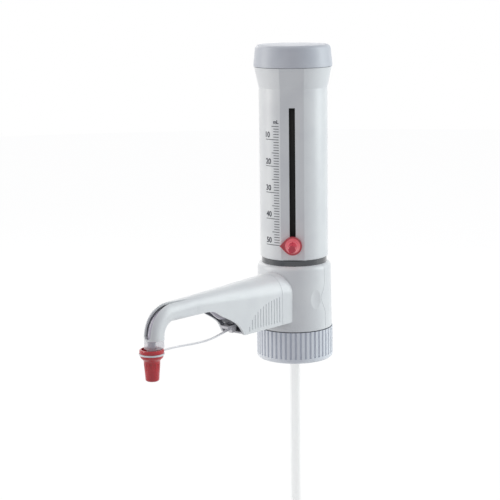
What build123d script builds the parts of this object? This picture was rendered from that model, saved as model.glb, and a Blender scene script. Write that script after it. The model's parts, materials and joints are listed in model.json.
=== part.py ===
import os
from math import acos, cos, degrees, radians, sin, sqrt, tan

from build123d import *

# Bottle top dispenser, 50 mL. Millimetres, +Z up. The origin is the mouth of the bottle thread,
# and the discharge arm reaches out along -X.

# driving dimensions: graduation and clearances
volume_ml = 50
ml_height = 1.87
scale_angle = 213.6
running_gap = 0.3
seat_gap = 0.15
stop_gap = 0.1

# thread ring
ring_radius = 27.5
ring_height = 22.6
ring_chamfer = 1.2
bottle_thread_radius = 22.6
bottle_thread_depth = 14.0
bottle_seal_step = 0.8
bottle_seal_thickness = 1.6
bottle_seal_bore = 15.5
groove_count = 48
groove_width = 1.7
groove_depth = 0.7
groove_foot = 3.2
hub_radius = 19.0
hub_wall = 2.5
hub_height = 10.0
swivel_seal_thickness = 0.5
swivel_seal_inset = 3.0
swivel_clip_thickness = 1.5
swivel_clip_depth = 0.7
swivel_clip_rise = 0.6
swivel_clip_opening = 3.0

# valve block
block_bottom_radius = 27.0
block_top_radius = 26.3
block_height = 46.9
block_edge = 3.4
shell_wall = 2.0
swivel_plate_thickness = 6.0
pocket_height = 0.8
pocket_width = 2.6
top_lip = 1.8
parting_gap = 0.25
parting_dip = 4.0
parting_shift = 0.6
parting_rise = 23.4
parting_reach = 12.0
dimple_radius = 48.0
dimple_depth = 0.5
dimple_angle = 71.0

# dosing cylinder
cylinder_bore = 13.05
cylinder_wall = 1.7
cylinder_seat_depth = 14.1
cylinder_top_inset = 11.2
sleeve_wall = 1.5
sleeve_seat_depth = 8.1
collar_height = 5.5
collar_chamfer = 1.0
collar_gap = 0.94
safety_ring_radius = 23.4
safety_ring_height = 3.8
safety_ring_edge = 0.8
safety_collar_height = 4.2

# piston
piston_clearance = 0.1
piston_head_length = 24.0
piston_rest_gap = 4.3
piston_nose = 1.2
rod_radius = 5.0
rod_socket_depth = 10.0
rod_flange_width = 4.0
rod_flange_height = 2.0
rod_nut_height = 4.0
wiper_width = 3.0
wiper_depth = 1.4
wiper_rise = 4.0

# housing and cap
housing_radius = 24.3
housing_wall = 2.3
housing_lift = 0.2
housing_straight_height = 120.9
housing_edge = 1.1
flare_rise = 3.1
flare_height = 14.5
flare_wall = 1.8
flare_lip_width = 2.0
flare_lip_height = 5.0
facet_width = 16.6
slot_width = 4.3
slot_top_margin = 3.4
slot_foot = 3.2
cap_overhang = 0.4
cap_skirt = 2.0
cap_taper = 1.4
cap_crown = 0.5
cap_height = 15.6
cap_wall = 2.4
cap_edge = 3.0
cap_joint_gap = 0.3
cap_spigot_wall = 1.6
cap_spigot_depth = 6.0
cap_boss_depth = 8.0

# volume pointer
pointer_rest_height = 11.0
pointer_radius = 6.6
pointer_reach = 9.2
pointer_thickness = 2.2
pointer_rim = 1.1
pointer_dish_depth = 0.8
pointer_clearance = 0.25
boss_radius = 3.9
boss_height = 1.0
carriage_size = 10.0
carriage_corner = 1.0
carriage_lug_height = 5.6
carriage_clearance = 0.84
knob_radius = 2.85
knob_length = 11.0
knob_edge = 0.5
knob_flutes = 12
knob_flute_radius = 0.35
clamp_screw_radius = 1.3

# discharge arm, s is the distance from the main axis along -X
arm_foot_rise = 7.4
arm_ridge_drop = 4.1
arm_ridge_slope = 0.8
arm_half_width_root = 14.6
arm_half_width_tip = 6.2
arm_wall = 1.9
arm_root_s = 22.6
arm_parting_s = 33.2
arm_gusset_s = 72.0
arm_tube_s = 118.0
arm_tube_height = 12.0
arm_tube_wall = 1.5
arm_tube_corner = 3.0
arm_tube_edge = 0.4
bend_inner_radius = 8.5
nozzle_s = 157.0
nozzle_offset = 1.6
nozzle_drop = 22.2
window_length = 39.0
window_power = 1.43
rib_count = 12
rib_pitch = 2.82
rib_width = 0.7
rib_depth = 0.5
rib_start = 3.0
rib_foot = 2.5
rib_arc_height = 20.5
rib_arc_length = 35.0
outlet_slot_start_s = 123.0
outlet_slot_tip_side = 3.0
outlet_slot_half_width = 2.6
outlet_slot_foot = 1.8

# discharge valve
valve_axis_rise = 21.8
valve_stem_radius = 6.8
valve_stem_s = 10.0
valve_body_radius = 7.0
valve_hex_radius = 9.4
valve_hex_width = 5.0
connector_radius = 6.6
connector_nose_radius = 4.6
connector_plug_s = 36.0
connector_nose_s = 70.0
chamber_end_s = 40.0
valve_nut_radius = 7.3
valve_nut_start_s = 58.0
valve_nut_end_s = 80.0
valve_nut_flutes = 16
tube_radius = 2.6
tube_bore = 1.6
tube_rise_start_s = 86.0
tube_rise_end_s = 104.0
tube_rise_radius = 12.0
outlet_ball_radius = 2.8
outlet_seat_s = 13.0
outlet_chamber_radius = 3.3
ball_seat_bore = 1.6
spring_turns = 5
spring_wire = 0.4
spring_inset = 0.7

# nozzle and closure cap
socket_inset = 0.2
socket_height = 5.5
spigot_radius = 3.3
spigot_length = 11.5
spigot_bore = 1.4
tube_insertion = 1.0
closure_gap = 0.2
closure_height = 21.0
closure_flange_radius = 8.05
closure_neck_radius = 7.2
closure_mouth_radius = 6.8
closure_mouth_depth = 1.8
closure_skirt_width = 0.4
closure_skirt_height = 4.2
closure_grip_radius = 5.4
closure_tip_radius = 4.5
closure_bevel = 0.6
closure_flutes = 12
closure_flute_radius = 0.8
tether_ring_drop = 3.1
tether_ring_height = 1.1
tether_ring_width = 0.85
tether_diameter = 1.4
anchor_face_s = 75.0
anchor_drop = 10.7
anchor_plate_thickness = 1.8
anchor_lug_width = 4.8
cover_rise = 0.3
cover_thickness = 1.2
cover_end_s = 71.4

# filling valve and telescopic filling tube
inlet_flange_radius = 9.5
inlet_flange_height = 6.3
inlet_body_radius = 7.0
inlet_neck_wall = 1.0
inlet_neck_height = 7.6
inlet_bore = 2.4
inlet_ball_radius = 3.0
inlet_seat_z = 16.0
inlet_chamber_radius = 3.5
inlet_chamber_height = 8.0
seat_block_height = 4.0
nipple_radius = 3.35
nipple_length = 8.0
nipple_taper = 0.4
fill_tube_radius = 4.3
fill_tube_wall = 0.8
fill_tube_length = 158.0
fill_tube_slip = 0.2
fill_tube_engaged = 9.0
fill_tube_foot = 8.0

# air vent on the back of the block
vent_rise = 14.8
vent_radius = 3.0
vent_depth = 6.0
vent_cap_radius = 5.2
vent_cap_length = 7.0
vent_cap_edge = 1.0
vent_cap_flutes = 14

stroke = volume_ml * ml_height
web_bottom_z = bottle_thread_depth + bottle_seal_thickness
seal_pocket_radius = bottle_thread_radius - bottle_seal_step
hub_bore = hub_radius - hub_wall
hub_top_z = ring_height + hub_height
clip_groove_z = ring_height + swivel_plate_thickness + swivel_seal_thickness + swivel_clip_rise
block_bottom_z = ring_height + swivel_seal_thickness + stop_gap
block_top_z = block_bottom_z + block_height
parting_z = block_bottom_z + parting_rise
core_bottom_z = block_bottom_z + swivel_plate_thickness + seat_gap
core_top_z = block_top_z - top_lip - seat_gap
shell_inner_radius = block_top_radius - shell_wall
core_radius = shell_inner_radius - seat_gap
pocket_top_z = hub_top_z + pocket_height
pocket_radius = hub_radius + pocket_width
vent_z = block_bottom_z + vent_rise

cylinder_radius = cylinder_bore + cylinder_wall
cylinder_foot_z = block_top_z - cylinder_seat_depth
sleeve_foot_z = block_top_z - sleeve_seat_depth
sleeve_inner_radius = cylinder_radius + seat_gap
sleeve_radius = sleeve_inner_radius + sleeve_wall
housing_bottom_z = block_top_z + safety_ring_height + housing_lift
pointer_rest_z = housing_bottom_z + pointer_rest_height
scale_zero_z = pointer_rest_z + stroke
collar_bottom_z = scale_zero_z + carriage_size / 2 + stop_gap
sleeve_top_z = collar_bottom_z + collar_height
cylinder_top_z = sleeve_top_z - cylinder_top_inset

housing_inner_radius = housing_radius - housing_wall
facet_distance = sqrt(housing_radius**2 - (facet_width / 2) ** 2)
facet_inner = facet_distance - housing_wall
collar_radius = facet_inner - collar_gap
safety_collar_radius = facet_inner - running_gap
flare_start_z = housing_bottom_z + housing_straight_height
flare_lip_z = flare_start_z + flare_lip_height
flare_radius = housing_radius + flare_rise
flare_bore_radius = facet_distance + flare_rise * flare_lip_height / flare_height - flare_wall
housing_top_z = flare_start_z + flare_height
cap_radius = flare_radius + cap_overhang
cap_shoulder_radius = cap_radius - cap_taper
cap_bottom_z = housing_top_z + cap_joint_gap
cap_top_z = cap_bottom_z + cap_height
cap_spigot_radius = flare_bore_radius - seat_gap
cap_boss_radius = rod_radius + rod_flange_width
cap_boss_z = cap_bottom_z - cap_boss_depth
carriage_thickness = facet_inner - running_gap - sleeve_radius - carriage_clearance
carriage_back = facet_inner - running_gap - carriage_thickness
pointer_back = facet_distance + pointer_clearance
knob_back = pointer_back + pointer_thickness + boss_height + running_gap

piston_radius = cylinder_bore - piston_clearance
piston_bottom_z = cylinder_foot_z + piston_rest_gap
piston_top_z = piston_bottom_z + piston_head_length
wiper_z = piston_bottom_z + wiper_rise
rod_foot_z = piston_top_z - rod_socket_depth + stop_gap
rod_top_z = cap_top_z - cap_wall - 3.0

arm_bottom_z = block_bottom_z + arm_foot_rise
arm_ridge_root_z = block_top_z - arm_ridge_drop
arm_ridge_tip_z = arm_ridge_root_z - arm_ridge_slope
arm_tube_bottom_z = arm_ridge_tip_z - arm_tube_height
arm_end_z = arm_ridge_tip_z - nozzle_drop
tube_axis_z = arm_ridge_tip_z - arm_tube_height / 2
bend_radius = bend_inner_radius + arm_tube_height / 2
bend_s = nozzle_s - nozzle_offset - bend_radius
bend_z = tube_axis_z - bend_radius

valve_axis_z = block_bottom_z + valve_axis_rise
valve_flange_s = block_bottom_radius + stop_gap
outlet_ball_s = outlet_seat_s + sqrt(outlet_ball_radius**2 - ball_seat_bore**2) + stop_gap / 2
coil_radius = outlet_chamber_radius - spring_inset
ball_rim = sqrt(outlet_ball_radius**2 - (coil_radius - spring_wire / 2) ** 2)
spring_start_s = outlet_ball_s + ball_rim + spring_wire / 2 + stop_gap
spring_length = connector_plug_s - stop_gap - spring_wire / 2 - spring_start_s

socket_bottom_z = arm_end_z - socket_height
tube_end_z = socket_bottom_z + tube_insertion
spigot_tip_z = socket_bottom_z - spigot_length
closure_top_z = socket_bottom_z - closure_gap
closure_bottom_z = closure_top_z - closure_height
tether_ring_z = closure_top_z - tether_ring_drop
tether_ring_bore = closure_neck_radius + running_gap
neck_top_z = tether_ring_z + tether_ring_height / 2 + running_gap
neck_bottom_z = tether_ring_z - tether_ring_height / 2 - running_gap
anchor_z = valve_axis_z - anchor_drop

seat_block_z = inlet_seat_z - stop_gap - seat_block_height
fill_tube_top_z = seat_block_z
nipple_tip_z = seat_block_z - nipple_length
fill_tube_bottom_z = fill_tube_top_z - fill_tube_length
inner_tube_radius = fill_tube_radius - fill_tube_wall - fill_tube_slip
inner_tube_top_z = nipple_tip_z - 1.0
inner_tube_bottom_z = fill_tube_bottom_z - fill_tube_foot
fill_tube_travel = inner_tube_top_z - fill_tube_bottom_z - fill_tube_engaged

os.makedirs("parts", exist_ok=True)


def finish(builder, label):
    builder.part.label = label
    export_step(builder.part, f"parts/{label}.step")


def revolved(points):
    """Turn a closed (radius, height) outline round the main axis."""
    with BuildPart() as turned:
        with BuildSketch(Plane.XZ):
            with BuildLine():
                Polyline(*points, close=True)
            make_face()
        revolve(axis=Axis.Z)
    return turned.part


arm_axis_plane = Plane(origin=(0, 0, valve_axis_z), x_dir=(0, -1, 0), z_dir=(-1, 0, 0))
scale_plane = Plane(
    origin=(0, 0, pointer_rest_z),
    x_dir=(-sin(radians(scale_angle)), cos(radians(scale_angle)), 0),
    z_dir=(cos(radians(scale_angle)), sin(radians(scale_angle)), 0),
)
facet_side_plane = Plane(origin=(0, 0, 0), x_dir=scale_plane.z_dir, z_dir=-scale_plane.x_dir)
vent_plane = Plane(origin=(0, 0, vent_z), z_dir=(1, 0, 0))


# --- root: thread ring, bottle seal, swivel parts -------------------------------------------

with BuildPart() as thread_ring:
    with BuildSketch(Plane.XZ):
        with BuildLine():
            Polyline(
                (bottle_thread_radius, 0),
                (ring_radius, 0),
                (ring_radius, ring_height),
                (hub_radius, ring_height),
                (hub_radius, hub_top_z),
                (hub_bore, hub_top_z),
                (hub_bore, web_bottom_z),
                (seal_pocket_radius, web_bottom_z),
                (seal_pocket_radius, bottle_thread_depth),
                (bottle_thread_radius, bottle_thread_depth),
                close=True,
            )
        make_face()
    revolve(axis=Axis.Z)
    bottom_rim = thread_ring.edges().filter_by(GeomType.CIRCLE).group_by(Axis.Z)[0]
    chamfer(bottom_rim.sort_by(SortBy.RADIUS)[-1], ring_chamfer)
    with BuildSketch(Plane.XY.offset(clip_groove_z)):
        Circle(hub_radius + 1)
        Circle(hub_radius - swivel_clip_depth, mode=Mode.SUBTRACT)
    extrude(amount=swivel_clip_thickness + 2 * stop_gap, mode=Mode.SUBTRACT)
    with BuildSketch(Plane.XY.offset(groove_foot)):
        with PolarLocations(ring_radius + groove_width / 2 - groove_depth, groove_count):
            Circle(groove_width / 2)
    extrude(amount=ring_height - groove_foot, mode=Mode.SUBTRACT)
finish(thread_ring, "thread_ring")

with BuildPart() as bottle_seal:
    with BuildSketch(Plane.XY.offset(bottle_thread_depth)):
        Circle(seal_pocket_radius - seat_gap)
        Circle(bottle_seal_bore, mode=Mode.SUBTRACT)
    extrude(amount=bottle_seal_thickness)
finish(bottle_seal, "bottle_seal")

with BuildPart() as swivel_seal:
    with BuildSketch(Plane.XY.offset(ring_height)):
        Circle(block_bottom_radius + stop_gap)
        Circle(hub_radius + swivel_seal_inset, mode=Mode.SUBTRACT)
    extrude(amount=swivel_seal_thickness)
finish(swivel_seal, "swivel_seal")

with BuildPart() as swivel_clip:
    with BuildSketch(Plane.XY.offset(clip_groove_z + stop_gap)):
        Circle(pocket_radius - 2 * running_gap)
        Circle(hub_radius - swivel_clip_depth + stop_gap, mode=Mode.SUBTRACT)
        with Locations((pocket_radius, 0)):
            Rectangle(pocket_radius, swivel_clip_opening, mode=Mode.SUBTRACT)
    extrude(amount=swivel_clip_thickness)
finish(swivel_clip, "swivel_clip")

# --- valve block ------------------------------------------------------------------------------

with BuildPart() as swivel_plate:
    with BuildSketch(Plane.XY.offset(block_bottom_z)):
        Circle(shell_inner_radius - seat_gap)
        Circle(hub_radius + running_gap, mode=Mode.SUBTRACT)
    extrude(amount=swivel_plate_thickness)
finish(swivel_plate, "swivel_plate")

with BuildPart() as block_core:
    with BuildSketch(Plane.XY.offset(core_bottom_z)):
        Circle(core_radius)
    extrude(amount=core_top_z - core_bottom_z)
    with BuildSketch(Plane.XY.offset(core_bottom_z)):
        Circle(pocket_radius)
    extrude(amount=pocket_top_z - core_bottom_z, mode=Mode.SUBTRACT)
    with BuildSketch(Plane.XY.offset(pocket_top_z)):
        Circle(inlet_body_radius - inlet_neck_wall + seat_gap)
    extrude(amount=cylinder_foot_z - pocket_top_z, mode=Mode.SUBTRACT)
    with BuildSketch(Plane.XY.offset(cylinder_foot_z)):
        Circle(cylinder_radius + seat_gap)
    extrude(amount=sleeve_foot_z - cylinder_foot_z, mode=Mode.SUBTRACT)
    with BuildSketch(Plane.XY.offset(sleeve_foot_z)):
        Circle(sleeve_radius + seat_gap)
    extrude(amount=core_top_z - sleeve_foot_z, mode=Mode.SUBTRACT)
    with BuildSketch(arm_axis_plane.offset(valve_stem_s - seat_gap)):
        Circle(valve_stem_radius + seat_gap)
    extrude(amount=core_radius, mode=Mode.SUBTRACT)
    with BuildSketch(arm_axis_plane):
        Circle(ball_seat_bore)
    extrude(amount=valve_stem_s, mode=Mode.SUBTRACT)
    with BuildSketch(vent_plane.offset(core_radius - vent_depth - stop_gap)):
        Circle(vent_radius + seat_gap)
    extrude(amount=vent_depth + 1, mode=Mode.SUBTRACT)
finish(block_core, "block_core")

with BuildPart() as block_outer:
    with BuildSketch(Plane.XZ):
        with BuildLine():
            Polyline(
                (0, block_bottom_z),
                (block_bottom_radius, block_bottom_z),
                (block_top_radius, block_top_z),
                (0, block_top_z),
                close=True,
            )
        make_face()
    revolve(axis=Axis.Z)
    fillet(block_outer.edges().group_by(Axis.Z)[-1], block_edge)

with BuildPart() as block_casing:
    add(block_outer.part)
    with BuildSketch(Plane.XY.offset(block_bottom_z)):
        Circle(shell_inner_radius)
    extrude(amount=block_height - top_lip, mode=Mode.SUBTRACT)
    with BuildSketch(Plane.XY.offset(block_bottom_z)):
        Circle(sleeve_radius + seat_gap)
    extrude(amount=block_height, mode=Mode.SUBTRACT)
    for side in (1, -1):
        angle = radians(180 + side * dimple_angle)
        reach = (block_bottom_radius + block_top_radius) / 2 - dimple_depth + dimple_radius
        with Locations((reach * cos(angle), reach * sin(angle), parting_z)):
            Sphere(dimple_radius, mode=Mode.SUBTRACT)


def parting_side(shift, far_x):
    """Side view region of the block, bounded by the wavy parting line."""
    top = (shift, block_top_z + 1)
    wave_top = (shift, parting_z + parting_reach)
    wave_foot = (shift + parting_shift, parting_z - parting_reach)
    foot = (shift + parting_shift, block_bottom_z - 1)
    with BuildPart() as region:
        with BuildSketch(Plane.XZ.offset(-block_bottom_radius - 2)):
            with BuildLine():
                Line(top, wave_top)
                Spline(
                    wave_top,
                    (shift - parting_dip, parting_z),
                    wave_foot,
                    tangents=((0, -1), (0.2, -1)),
                )
                Line(wave_foot, foot)
                Polyline(foot, (far_x, block_bottom_z - 1), (far_x, block_top_z + 1), top)
            make_face()
        extrude(amount=2 * block_bottom_radius + 4)
    return region.part


with BuildPart() as block_front_shell:
    add(block_casing.part)
    add(parting_side(-parting_gap / 2, -block_bottom_radius - 2), mode=Mode.INTERSECT)
    with BuildSketch(arm_axis_plane.offset(valve_stem_s)):
        Circle(valve_stem_radius + running_gap)
    extrude(amount=block_bottom_radius, mode=Mode.SUBTRACT)
finish(block_front_shell, "block_front_shell")

with BuildPart() as block_rear_shell:
    add(block_casing.part)
    add(parting_side(parting_gap / 2, block_bottom_radius + 2), mode=Mode.INTERSECT)
    with BuildSketch(vent_plane.offset(core_radius - 1)):
        Circle(vent_radius + seat_gap)
    extrude(amount=block_bottom_radius - core_radius + 2, mode=Mode.SUBTRACT)
finish(block_rear_shell, "block_rear_shell")

vent_face_x = block_bottom_radius + stop_gap

with BuildPart() as vent_cap:
    with BuildSketch(vent_plane.offset(vent_face_x)):
        Circle(vent_cap_radius)
    extrude(amount=vent_cap_length)
    chamfer(vent_cap.edges().group_by(Axis.X)[-1], vent_cap_edge)
    with BuildSketch(vent_plane.offset(vent_face_x + vent_cap_edge)):
        with PolarLocations(vent_cap_radius + 0.3, vent_cap_flutes):
            Circle(0.7)
    extrude(amount=vent_cap_length, mode=Mode.SUBTRACT)
    with BuildSketch(vent_plane.offset(core_radius - vent_depth)):
        Circle(vent_radius)
    extrude(amount=vent_face_x - core_radius + vent_depth)
finish(vent_cap, "vent_cap")

with BuildPart() as safety_ring:
    collar_z = block_top_z + safety_ring_height
    add(revolved([
        (sleeve_radius + seat_gap, block_top_z),
        (safety_ring_radius, block_top_z),
        (safety_ring_radius, collar_z),
        (safety_collar_radius, collar_z),
        (safety_collar_radius, collar_z + safety_collar_height),
        (sleeve_radius + seat_gap, collar_z + safety_collar_height),
    ]))
    chamfer(safety_ring.edges().group_by(Axis.Z)[-1].sort_by(SortBy.RADIUS)[-1], safety_ring_edge)
finish(safety_ring, "safety_ring")

# --- dosing cylinder ----------------------------------------------------------------------------

with BuildPart() as glass_cylinder:
    with BuildSketch(Plane.XY.offset(cylinder_foot_z)):
        Circle(cylinder_radius)
        Circle(cylinder_bore, mode=Mode.SUBTRACT)
    extrude(amount=cylinder_top_z - cylinder_foot_z)
finish(glass_cylinder, "glass_cylinder")

with BuildPart() as cylinder_sleeve:
    with BuildSketch(Plane.XY.offset(sleeve_foot_z)):
        Circle(sleeve_radius)
        Circle(sleeve_inner_radius, mode=Mode.SUBTRACT)
    extrude(amount=sleeve_top_z - sleeve_foot_z)
finish(cylinder_sleeve, "cylinder_sleeve")

with BuildPart() as stop_collar:
    with BuildSketch(Plane.XY.offset(collar_bottom_z)):
        Circle(collar_radius)
        Circle(sleeve_radius + seat_gap, mode=Mode.SUBTRACT)
    extrude(amount=collar_height)
    chamfer(stop_collar.edges().group_by(Axis.Z)[-1].sort_by(SortBy.RADIUS)[-1], collar_chamfer)
finish(stop_collar, "stop_collar")

# --- piston ---------------------------------------------------------------------------------------

with BuildPart() as piston_head:
    add(revolved([
        (0, piston_bottom_z),
        (piston_radius - running_gap - piston_nose, piston_bottom_z),
        (piston_radius - running_gap, piston_bottom_z + piston_nose),
        (piston_radius - running_gap, wiper_z),
        (piston_radius - wiper_depth, wiper_z),
        (piston_radius - wiper_depth, wiper_z + wiper_width),
        (piston_radius - running_gap, wiper_z + wiper_width),
        (piston_radius - running_gap, piston_top_z),
        (0, piston_top_z),
    ]))
    with BuildSketch(Plane.XY.offset(piston_top_z - rod_socket_depth)):
        Circle(rod_radius + stop_gap)
    extrude(amount=rod_socket_depth + 1, mode=Mode.SUBTRACT)
finish(piston_head, "piston_head")

with BuildPart() as piston_wiper:
    with BuildSketch(Plane.XY.offset(wiper_z + stop_gap)):
        Circle(piston_radius)
        Circle(piston_radius - wiper_depth + stop_gap, mode=Mode.SUBTRACT)
    extrude(amount=wiper_width - 2 * stop_gap)
finish(piston_wiper, "piston_wiper")

with BuildPart() as piston_rod:
    with BuildSketch(Plane.XY.offset(rod_foot_z)):
        Circle(rod_radius)
    extrude(amount=rod_top_z - rod_foot_z)
    with BuildSketch(Plane.XY.offset(piston_top_z + stop_gap)):
        Circle(rod_radius + rod_flange_width)
    extrude(amount=rod_flange_height)
finish(piston_rod, "piston_rod")

# --- volume housing, cap ---------------------------------------------------------------------------

with BuildPart() as housing:
    add(revolved([
        (0, housing_bottom_z),
        (housing_radius, housing_bottom_z),
        (housing_radius, flare_start_z),
        (flare_radius, housing_top_z),
        (0, housing_top_z),
    ]))
    facet_reach = flare_radius + 5
    with BuildSketch(facet_side_plane.offset(-facet_reach)):
        with BuildLine():
            Polyline(
                (facet_distance, housing_bottom_z - 1),
                (facet_distance, flare_start_z),
                (facet_distance + flare_rise, housing_top_z),
                (facet_distance + flare_rise, housing_top_z + 1),
                (facet_reach, housing_top_z + 1),
                (facet_reach, housing_bottom_z - 1),
                close=True,
            )
        make_face()
    extrude(amount=2 * facet_reach, mode=Mode.SUBTRACT)
    fillet(housing.edges().group_by(Axis.Z)[0], housing_edge)
    with BuildSketch(Plane.XY.offset(housing_bottom_z)):
        Circle(housing_inner_radius)
        with Locations(Location((0, 0, 0), (0, 0, scale_angle))):
            with Locations((facet_inner + facet_reach / 2, 0)):
                Rectangle(facet_reach, 3 * facet_width, mode=Mode.SUBTRACT)
    extrude(amount=flare_start_z - housing_bottom_z, mode=Mode.SUBTRACT)
    with BuildSketch(Plane.XY.offset(flare_start_z)):
        Circle(housing_inner_radius - flare_lip_width)
    extrude(amount=flare_lip_height, mode=Mode.SUBTRACT)
    with BuildSketch(Plane.XY.offset(flare_lip_z)):
        Circle(flare_bore_radius)
    extrude(amount=flare_height, mode=Mode.SUBTRACT)
    slot_top = scale_zero_z + slot_top_margin
    slot_bottom = pointer_rest_z - slot_foot
    with BuildSketch(scale_plane.offset(facet_inner - 1)):
        with Locations((0, (slot_top + slot_bottom) / 2 - pointer_rest_z)):
            Rectangle(slot_width, slot_top - slot_bottom)
    extrude(amount=housing_wall + 2, mode=Mode.SUBTRACT)
finish(housing, "housing")

with BuildPart() as top_cap:
    add(revolved([
        (0, cap_bottom_z),
        (cap_radius, cap_bottom_z),
        (cap_radius, cap_bottom_z + cap_skirt),
        (cap_shoulder_radius, cap_top_z - cap_crown),
        (0, cap_top_z),
    ]))
    fillet(top_cap.edges().filter_by(GeomType.CIRCLE).group_by(Axis.Z)[-1], cap_edge)
    with BuildSketch(Plane.XY.offset(cap_bottom_z)):
        Circle(cap_spigot_radius - cap_spigot_wall)
    extrude(amount=cap_height - cap_wall - cap_crown, mode=Mode.SUBTRACT)
    with BuildSketch(Plane.XY.offset(cap_bottom_z - cap_spigot_depth)):
        Circle(cap_spigot_radius)
        Circle(cap_spigot_radius - cap_spigot_wall, mode=Mode.SUBTRACT)
    extrude(amount=cap_spigot_depth)
    with BuildSketch(Plane.XY.offset(cap_boss_z)):
        Circle(cap_boss_radius)
    extrude(amount=cap_height + cap_boss_depth - cap_wall)
    with BuildSketch(Plane.XY.offset(cap_boss_z)):
        Circle(rod_radius + stop_gap)
    extrude(amount=rod_top_z + stop_gap - cap_boss_z, mode=Mode.SUBTRACT)
finish(top_cap, "top_cap")

with BuildPart() as rod_nut:
    with BuildSketch(Plane.XY.offset(cap_boss_z - stop_gap - rod_nut_height)):
        RegularPolygon(cap_boss_radius, 6)
        Circle(rod_radius + stop_gap, mode=Mode.SUBTRACT)
    extrude(amount=rod_nut_height)
finish(rod_nut, "rod_nut")

# --- volume pointer ---------------------------------------------------------------------------------

lug_half_width = slot_width / 2 - 0.2


def teardrop(radius, reach):
    """Round pointer outline drawn out to a tip towards the scale."""
    tangent_angle = degrees(acos(radius / reach))
    tangent_x = -radius * cos(radians(tangent_angle))
    tangent_z = radius * sin(radians(tangent_angle))
    with BuildSketch(Plane.XY) as outline:
        with BuildLine():
            CenterArc((0, 0), radius, tangent_angle - 180, 360 - 2 * tangent_angle)
            Line((tangent_x, tangent_z), (-reach, 0))
            Line((-reach, 0), (tangent_x, -tangent_z))
        make_face()
    return outline.sketch


with BuildPart() as volume_pointer:
    with BuildSketch(scale_plane.offset(pointer_back)):
        add(teardrop(pointer_radius, pointer_reach))
    extrude(amount=pointer_thickness)
    with BuildSketch(scale_plane.offset(pointer_back + pointer_thickness - pointer_dish_depth)):
        dish_radius = pointer_radius - pointer_rim
        add(teardrop(dish_radius, pointer_reach * dish_radius / pointer_radius))
        Circle(boss_radius, mode=Mode.SUBTRACT)
    extrude(amount=pointer_dish_depth + boss_height, mode=Mode.SUBTRACT)
    with BuildSketch(scale_plane.offset(pointer_back + pointer_thickness)):
        Circle(boss_radius)
    extrude(amount=boss_height)
    with BuildSketch(scale_plane.offset(pointer_back)):
        Circle(clamp_screw_radius + running_gap)
    extrude(amount=pointer_thickness + boss_height, mode=Mode.SUBTRACT)
finish(volume_pointer, "volume_pointer")

with BuildPart() as pointer_carriage:
    with BuildSketch(scale_plane.offset(carriage_back)):
        RectangleRounded(carriage_size, carriage_size, carriage_corner)
    extrude(amount=carriage_thickness)
    with BuildSketch(scale_plane.offset(carriage_back + carriage_thickness)):
        Rectangle(2 * lug_half_width, carriage_lug_height)
    extrude(amount=facet_distance - facet_inner + running_gap)
    with BuildSketch(scale_plane.offset(carriage_back)):
        Circle(clamp_screw_radius + stop_gap)
    extrude(amount=facet_distance - carriage_back, mode=Mode.SUBTRACT)
finish(pointer_carriage, "pointer_carriage")

with BuildPart() as thumbscrew:
    with BuildSketch(scale_plane.offset(knob_back)):
        Circle(knob_radius)
    extrude(amount=knob_length)
    knob_faces = thumbscrew.faces().sort_by(Axis(scale_plane.origin, scale_plane.z_dir))
    chamfer(knob_faces[-1].edges(), knob_edge)
    with BuildSketch(scale_plane.offset(knob_back + 3 * knob_edge)):
        with PolarLocations(knob_radius + 0.15, knob_flutes):
            Circle(knob_flute_radius)
    extrude(amount=knob_length - 6 * knob_edge, mode=Mode.SUBTRACT)
    with BuildSketch(scale_plane.offset(carriage_back + knob_edge)):
        Circle(clamp_screw_radius)
    extrude(amount=knob_back - carriage_back - knob_edge)
finish(thumbscrew, "thumbscrew")

# --- discharge arm -----------------------------------------------------------------------------------


def arm_plane(s):
    return Plane(origin=(-s, 0, 0), x_dir=(0, -1, 0), z_dir=(-1, 0, 0))


def arm_size(s):
    """Half width and ridge height of the arm at a distance s from the main axis."""
    share = (s - arm_root_s) / (arm_tube_s - arm_root_s)
    half_width = arm_half_width_root + share * (arm_half_width_tip - arm_half_width_root)
    ridge_z = arm_ridge_root_z + share * (arm_ridge_tip_z - arm_ridge_root_z)
    return half_width, ridge_z


def arm_loft(start_s, end_s, inset, bottom_z):
    """Tapering arch section: straight sides under a half-round top."""
    with BuildPart() as lofted:
        for s in (start_s, end_s):
            half_width, ridge_z = arm_size(s)
            half_width -= inset
            ridge_z -= inset
            with BuildSketch(arm_plane(s)):
                with BuildLine():
                    Line((-half_width, ridge_z - half_width), (-half_width, bottom_z))
                    Line((-half_width, bottom_z), (half_width, bottom_z))
                    Line((half_width, bottom_z), (half_width, ridge_z - half_width))
                    CenterArc((0, ridge_z - half_width), half_width, 0, 180)
                make_face()
        loft(ruled=True)
    return lofted.part


def arm_tube_section(inset, outer_corner):
    """Arch section of the narrow tube, with rounded lower corners."""
    half_width = arm_half_width_tip - inset
    low = arm_ridge_tip_z - arm_tube_height + inset
    centre_z = arm_ridge_tip_z - arm_half_width_tip
    corner = max(outer_corner - inset, arm_tube_edge)
    with BuildSketch(Plane.XY) as section:
        with BuildLine():
            CenterArc((0, centre_z), half_width, 0, 180)
            Line((-half_width, centre_z), (-half_width, low + corner))
            CenterArc((-half_width + corner, low + corner), corner, 180, 90)
            Line((-half_width + corner, low), (half_width - corner, low))
            CenterArc((half_width - corner, low + corner), corner, 270, 90)
            Line((half_width, low + corner), (half_width, centre_z))
        make_face()
    return section.sketch


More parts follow.
